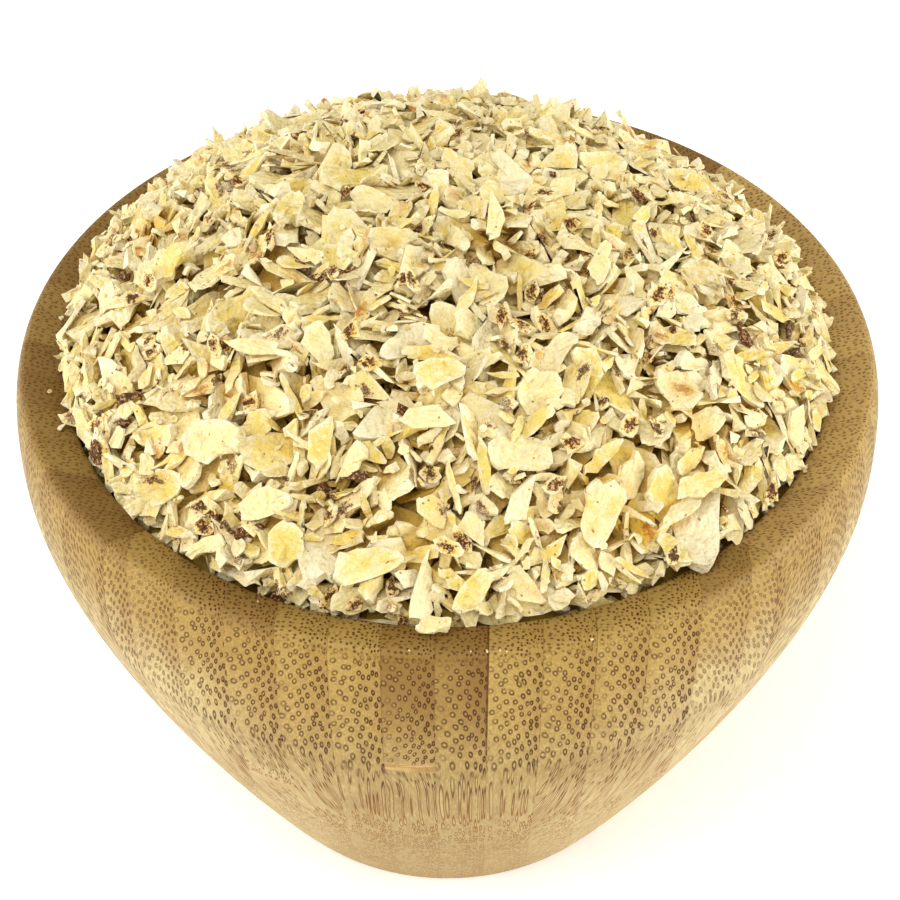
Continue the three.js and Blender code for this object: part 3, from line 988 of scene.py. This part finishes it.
# What the photograph shows clearly, by its place in the frame of 900 pixels. Flakes: length and
# width in millimetres, turn in the frame in degrees, lean towards the eye, warmth, skin.
CLEAR_FLAKES = {
    "leaf_in_front_on_the_right": ((600, 524), (9.4, 5.6), 82, 0.7, 0.5, 0.0),
    "broad_one_on_the_left": ((214, 448), (10.4, 6.4), -8, 0.3, 0.35, 0.0),
    "long_one_in_front": ((368, 570), (9.6, 4.6), 10, 0.5, 0.7, 0.0),
    "golden_corner_in_front": ((286, 560), (6.2, 5.6), 75, 0.6, 0.95, 0.0),
    "pale_leaf_on_the_left": ((264, 506), (7.8, 4.2), 24, 0.5, 0.1, 0.0),
    "golden_one_with_dark_skin": ((160, 500), (6.6, 5.0), 15, 0.4, 0.9, 0.31),
    "upright_golden_one": ((320, 448), (7.6, 3.8), 74, 0.5, 0.9, 0.0),
    "pale_slanted_one": ((350, 472), (6.4, 3.0), 42, 0.4, 0.05, 0.0),
    "chalky_chip_in_the_middle": ((428, 418), (7.6, 3.6), -4, 0.3, 0.0, 0.0),
    "soft_gold_in_the_middle": ((440, 378), (7.0, 4.6), 4, 0.4, 0.8, 0.0),
    "pale_one_left_of_middle": ((318, 350), (6.8, 4.2), -70, 0.5, 0.3, 0.0),
    "gold_far_left": ((170, 268), (7.0, 5.6), 60, 0.4, 0.7, 0.0),
    "gold_behind_on_the_left": ((290, 226), (6.4, 4.4), 66, 0.5, 0.85, 0.0),
    "pale_upright_behind": ((496, 236), (7.0, 2.6), 84, 0.5, 0.1, 0.0),
    "chalky_slab_behind": ((600, 274), (6.4, 3.0), 70, 0.4, 0.0, 0.0),
    "pale_slab_on_the_right": ((796, 432), (7.6, 3.4), 70, 0.3, 0.15, 0.0),
    "soft_one_on_the_right": ((702, 486), (7.4, 3.8), 6, 0.5, 0.6, 0.0),
    "speckled_one_on_the_right": ((676, 400), (7.0, 5.2), -50, 0.5, 0.3, 0.44),
    "yellow_one_at_the_front_rim": ((474, 603), (7.2, 3.6), 48, 0.7, 0.8, 0.0),
    "pale_edge_left_of_middle": ((250, 350), (8.6, 1.8), -4, 0.0, 0.1, 0.0),
    "pale_edge_under_it": ((262, 357), (7.6, 1.6), -8, 0.0, 0.1, 0.0),
    "tip_over_the_right_rim": ((814, 366), (6.6, 2.2), 12, 0.0, 0.2, 0.0),
    "tip_under_it": ((818, 378), (6.0, 2.0), -4, 0.0, 0.2, 0.0),
    "chip_over_the_front_rim": ((434, 633), (4.6, 2.8), -12, 0.2, 0.0, 0.0),
}
# Small flakes with a scrap of dark skin, and crumbs that lie on the wood of the rim.
SKIN_SCRAPS = [
    (135, 305), (150, 290), (232, 170), (270, 258), (333, 277), (405, 285), (350, 345), (370, 370),
    (502, 324), (520, 337), (600, 131), (725, 208), (705, 235), (780, 265), (668, 296), (570, 228),
    (655, 435), (630, 430), (672, 568), (412, 300), (215, 352), (658, 302), (555, 488), (522, 366),
    (448, 560), (545, 196), (735, 318), (572, 452), (462, 545), (205, 540), (770, 494), (236, 184),
]
CLEAR_SCALE = 0.92         # the clear flakes' sizes are to the outside of their soft edges
PATCHED = 0.22             # share of flakes with a patch of skin somewhere
WHOLE_SKIN = {"sliver": 0.006, "bit": 0.02, "crumb": 0.06}      # shares that are skin all over
CENTRED_SKIN = {"narrow": 0.03, "bit": 0.07}        # shares with a scrap in their middle
FLAKE_APART = 13.0         # keeps the pattern of one flake from going on in the next
SKIN_KEYS = (91.7, 57.3, 33.1, 12.7)
SKIN_STRAY = (4.4, 2.2)    # how far from the middle a scrap of skin may lie, along and across
SKIN_LONG = 0.62           # how much longer than wide it is
SPECK_DENSITY = 0.95
RIM_CRUMBS = [(409, 651), (471, 652), (487, 652), (500, 651), (507, 652), (258, 602), (592, 640)]


def lay_clear_flakes(pile):
    """Lays the flakes that the photograph shows clearly. Gives them with their traits."""
    flakes = []
    for pixel, size, heading, lean, warmth, skin in CLEAR_FLAKES.values():
        kind = "broad" if size[1] > 4.0 else ("narrow" if size[1] > 2.1 else "sliver")
        shape = pile.any_shape(kind)
        laid = pile.lay(shape, np.array(size) * CLEAR_SCALE, pixel, heading, lean)
        flakes.append((("clear", *laid), (0.5, warmth, skin)))
    return flakes


def lay_scraps(pile, rng):
    """Lays the small flakes with dark skin, and the crumbs on the wood, which are as thick as
    they are wide. Gives them with their traits."""
    scraps = []
    for pixel in SKIN_SCRAPS:
        shape = pile.any_shape("bit")
        size = (rng.uniform(2.4, 4.4), rng.uniform(1.8, 2.8))
        laid = pile.lay(shape, size, pixel, rng.uniform(0, 180), rng.uniform(0, 0.5))
        scraps.append((("scrap", *laid), (0.5, 0.5, 2.0 + rng.random())))
    for pixel in RIM_CRUMBS:
        shape = pile.any_shape("bit")
        size = (rng.uniform(0.25, 0.5), rng.uniform(0.18, 0.32))
        laid = pile.lay(shape, size, pixel, rng.uniform(0, 180), 0.0)
        laid[1][2] = size[1]
        scraps.append((("scrap", *laid), (0.9, 0.0, 0.0)))
    return scraps


def draw_traits(kind, count, rng):
    """Draws each flake's tone, warmth and share of skin."""
    skins = np.zeros(count)
    for above, share in enumerate((PATCHED, WHOLE_SKIN.get(kind, 0.0), CENTRED_SKIN.get(kind, 0.0))):
        skins = np.where(rng.random(count) < share, above + rng.random(count), skins)
    return np.column_stack([rng.random(count), rng.random(count), skins])


def join_flakes(name, placed, traits, pile, material):
    """Joins placed flakes into one piece. Each point keeps its place on its own flake, how near
    the outline it lies, how deep in the heap, and its flake's tone, warmth and share of skin."""
    points, faces, local_places, edges, kept_traits = [], [], [], [], []
    start = 0
    for number, (flake, trait) in enumerate(zip(placed, traits)):
        _, shape, scale, turn, spot = flake
        local = shape.points * scale
        points.append(local @ turn.T + np.array(spot))
        faces.extend(tuple(corner + start for corner in face) for face in shape.faces)
        local_places.append(local + np.array([0.0, 0.0, FLAKE_APART * number]))
        edges.append(shape.edge_share)
        kept_traits.append(np.tile(trait, (len(local), 1)))
        start += len(local)
    depths = pile.depths(pile.outer_face(), np.concatenate(points))
    mesh = bpy.data.meshes.new(name)
    mesh.from_pydata((np.concatenate(points) * MM).tolist(), [], faces)
    for key, kind, values in (("flake_place", "FLOAT_VECTOR", np.concatenate(local_places)),
                              ("flake_trait", "FLOAT_VECTOR", np.concatenate(kept_traits)),
                              ("flake_edge", "FLOAT", np.concatenate(edges)),
                              ("flake_depth", "FLOAT", depths)):
        layer = mesh.attributes.new(key, kind, "POINT")
        layer.data.foreach_set("vector" if kind == "FLOAT_VECTOR" else "value", values.ravel())
    piece = bpy.data.objects.new(name, mesh)
    bpy.context.scene.collection.objects.link(piece)
    deselect_all()
    piece.select_set(True)
    bpy.context.view_layer.objects.active = piece
    bpy.ops.object.shade_smooth_by_angle(angle=math.radians(42))
    finish_piece(piece, material)
    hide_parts("flakes")
    return piece


def skin_layers(s, skin, along, across, mottle, powder):
    """The two layers of skin on a flake: a soft amber scrap, and a dark speckled one over it. A
    share from one to two covers the whole flake, and one above two lays the scrap in its middle."""
    centred = skin > 2.0
    any_dark = skin > 1.0
    luck_x, luck_y, luck_dark, luck_amber = [s.luck(skin * key) for key in SKIN_KEYS]
    from_x = along - (luck_x - 0.5) * SKIN_STRAY[0] * (1 - centred)
    from_y = across - (luck_y - 0.5) * SKIN_STRAY[1] * (1 - centred)
    reach = s.length(s.combine(from_x * SKIN_LONG, from_y, 0.0))
    cover = reach + (mottle - 0.5) * 3.0 + (any_dark - centred) * -9.0
    has_skin = skin > 0.01
    dark = s.most(luck_dark > 0.5, any_dark)
    amber = s.mix(s.ramp(cover, 0.9, 0.2), tint(236, 180, 70), tint(186, 112, 26))
    brown = s.mix(s.ramp(powder, 0.40, 0.58), tint(44, 24, 14), tint(122, 72, 34))
    brown = s.mix(s.ramp(powder, 0.55, 0.64) * 0.8, brown, tint(214, 188, 150))
    return ((amber, s.ramp(cover, 1.3, 0.3) * (has_skin * s.ramp(luck_amber, 0.3, 0.8, 0.35, 0.9))),
            (brown, s.ramp(cover, 0.75, 0.45) * (has_skin * dark) * 0.92))


def flake_material():
    """Sliced tiger nut: cream flesh, chalky along its broken edges, waxy gold in the middle, with
    small scraps of amber to dark brown skin on some flakes, and a deeper gold painted as shade
    where a flake lies deep in the heap."""
    s = Shader("tiger_nut_flesh")
    place = s.attribute("flake_place", "Vector")
    tone, warmth, skin = s.split(s.attribute("flake_trait", "Vector"))
    edge = s.attribute("flake_edge", "Fac")
    painted_shade_depth = s.attribute("flake_depth", "Fac")
    along, across, apart = s.split(place)

    patches = s.noise(place, 0.5, 1.0, 0.55)
    powder = s.noise(place, 2.6, 2.0, 0.7)
    lumps = s.noise(place, 1.0, 1.0, 0.5)
    mottle = s.noise(place, 1.6, 3.0, 0.75)
    streaks = s.noise(s.combine(along * 0.45, across * 2.4, apart), 1.0, 1.0)
    cream, gold, chalk = tint(247, 231, 170), tint(239, 213, 112), tint(252, 243, 213)
    golden = s.ramp(warmth + (patches - 0.5) * 1.6, 0.35, 1.0) * s.ramp(edge, 0.95, 0.45, 0.15, 1.0)
    chalky = s.ramp(edge + (powder - 0.5) * 1.5, 0.62, 1.1)
    from_speck, speck_luck = s.cells(s.combine(along + apart, across, 0.0), SPECK_DENSITY, flat=True)
    speck = s.ramp(from_speck, 0.20, 0.08) * (speck_luck + skin * 0.12 > 0.94)

    # Deep in the gaps the flesh takes a deeper gold: painted shade that grows with the depth in the heap.
    body = s.layers(
        cream,
        (gold, golden),
        (tint(222, 190, 104), s.ramp(streaks, 0.5, 0.72) * 0.3),
        (tint(222, 200, 150), s.ramp(tone, 0.82, 1.0) * 0.5),
        (chalk, s.ramp(tone, 0.4, 0.0) * 0.6),
        (chalk, chalky * 0.8),
        (tint(226, 196, 112), s.ramp(mottle, 0.54, 0.64) * 0.35),
        (chalk, s.ramp(mottle, 0.46, 0.38) * 0.45),
        (tint(140, 92, 36), speck * 0.8),
        (tint(214, 172, 56), s.ramp(painted_shade_depth, 2.7, 6.0) * 0.84),
        *skin_layers(s, skin, along, across, mottle, powder))
    rough = s.ramp(golden, 0.0, 1.0, 0.85, 0.6)
    return s.surface(body, rough, powder * 0.6 + lumps * 1.9, 0.75, 0.0005, Specular_IOR_Level=0.12)


def core_material():
    """What shows deep between the flakes: flesh and skin coloured dark as painted shade."""
    s = Shader("packed_flakes_in_shade")
    place = s.millimetres()
    distance, luck = s.cells(place, 0.4)
    body = s.mix(luck, tint(110, 76, 14), tint(200, 166, 70))
    return s.surface(body, 0.9, distance, 1.0, 0.001, Specular_IOR_Level=0.2)


def heap_core(material):
    """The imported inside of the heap, turned to fill the hollow under the loose flakes."""
    side = curve_points([
        (FLOOR_RADIUS, FLOOR_HEIGHT + CORE_GAP),
        (FLOOR_RADIUS + FLOOR_BEND, FLOOR_HEIGHT + CORE_GAP),
        (MOUTH_RADIUS - HOLLOW_TAPER - CORE_GAP, HOLLOW_BEND_HEIGHT),
        (MOUTH_RADIUS - CORE_GAP, MOUTH_HEIGHT - MOUTH_EASE)], 16)
    top_radius = MOUTH_RADIUS - CORE_GAP
    rim_height = float(core_height(top_radius))
    side = [(r, h) for r, h in side if h < rim_height - 1]
    dome = [(r, float(core_height(r))) for r in np.linspace(top_radius, 0, 24)]
    section = [(0.0, FLOOR_HEIGHT + CORE_GAP), *side, *dome]
    turn_profile("heap_core", section, material, "flakes")


# ---- floor, light and camera ------------------------------------------------------------------
CAMERA_AIM_HEIGHT = 49.7
CAMERA_DISTANCE = 300.4
CAMERA_RISE = math.radians(44.87)
FOCAL_PIXELS = 1986.5      # focal length in pixels of the 900 pixel frame
FRAME_PIXELS = 900
FRAME_OFFSET = (2.57, 52.3)         # how far the frame is shifted, in pixels
SENSOR = 36.0

# Soft lamps: place in metres, and power.
LAMPS = {
    "key": ((-0.25, -0.45, 0.95), 4.0),
    "left_side": ((-0.95, -0.25, 0.28), 4.6),
    "right_side": ((0.95, -0.25, 0.28), 6.0),
}
LAMP_SIZE = 0.60
LAMP_AIM = Vector((0, 0, 0.06))
ROOM_COLOR = (1.0, 0.98, 0.93, 1.0)
ROOM_LIGHT = 0.65


def set_camera():
    data = bpy.data.cameras.new("camera")
    data.sensor_width = SENSOR
    data.lens = SENSOR * FOCAL_PIXELS / FRAME_PIXELS
    data.shift_x = FRAME_OFFSET[0] / FRAME_PIXELS
    data.shift_y = FRAME_OFFSET[1] / FRAME_PIXELS
    data.clip_start = 0.01
    camera = bpy.data.objects.new("camera", data)
    bpy.context.scene.collection.objects.link(camera)
    aim = Vector((0, 0, CAMERA_AIM_HEIGHT * MM))
    away = Vector((0, -math.cos(CAMERA_RISE), math.sin(CAMERA_RISE)))
    camera.location = aim + away * CAMERA_DISTANCE * MM
    camera.rotation_euler = (-away).to_track_quat("-Z", "Y").to_euler()
    bpy.context.scene.camera = camera


def set_floor():
    deselect_all()
    bpy.ops.mesh.primitive_circle_add(vertices=96, radius=3.0, fill_type="NGON", location=(0, 0, 0))
    floor = bpy.context.object
    floor.name = "floor"
    s = Shader("pale_floor")
    grain = s.noise(s.millimetres(), 0.02, 2.0)
    color = s.mix(s.ramp(grain, 0.3, 0.7), (0.90, 0.90, 0.90, 1), (0.93, 0.93, 0.925, 1))
    floor.data.materials.append(s.surface(color, 0.9, Specular_IOR_Level=0.1,
                                          Emission_Color=(1, 1, 1, 1), Emission_Strength=0.3))


def set_light():
    world = bpy.data.worlds.new("white_room")
    bpy.context.scene.world = world
    world.use_nodes = True
    background = world.node_tree.nodes["Background"]
    background.inputs[0].default_value = ROOM_COLOR
    background.inputs[1].default_value = ROOM_LIGHT
    for name, (place, power) in LAMPS.items():
        data = bpy.data.lights.new(name, "AREA")
        data.shape = "DISK"
        data.size = LAMP_SIZE
        data.energy = power
        lamp = bpy.data.objects.new(name, data)
        bpy.context.scene.collection.objects.link(lamp)
        lamp.location = place
        lamp.rotation_euler = (LAMP_AIM - Vector(place)).to_track_quat("-Z", "Y").to_euler()
    view = bpy.context.scene.view_settings
    view.view_transform = "Standard"
    view.look = "None"
    view.exposure = 0.0


# ---- the making ---------------------------------------------------------------------------------
set_camera()
set_floor()
set_light()
turn_profile("bowl_turned", bowl_profile(), Bamboo().oiled(), "bowl")
heap_core(core_material())
rng = np.random.default_rng(FLAKE_SEED)
pile = Pile(model_shapes(rng), rng)
fill_heap(pile, rng)
fill_edge(pile, rng, EDGE_ROUNDS[0])
clear_flakes = lay_clear_flakes(pile)
fill_gaps(pile, rng)
fill_edge(pile, rng, EDGE_ROUNDS[1])
skin_scraps = lay_scraps(pile, rng)
drop_crumbs(pile, rng)
flesh = flake_material()
for name, laid in (("clear_flakes", clear_flakes), ("skin_scraps", skin_scraps)):
    join_flakes(name, [flake for flake, _ in laid], [trait for _, trait in laid], pile, flesh)
for kind in [*KINDS, "crumb"]:
    chosen = [flake for flake in pile.placed if flake[0] == kind]
    join_flakes(f"{kind}_flakes", chosen, draw_traits(kind, len(chosen), rng), pile, flesh)
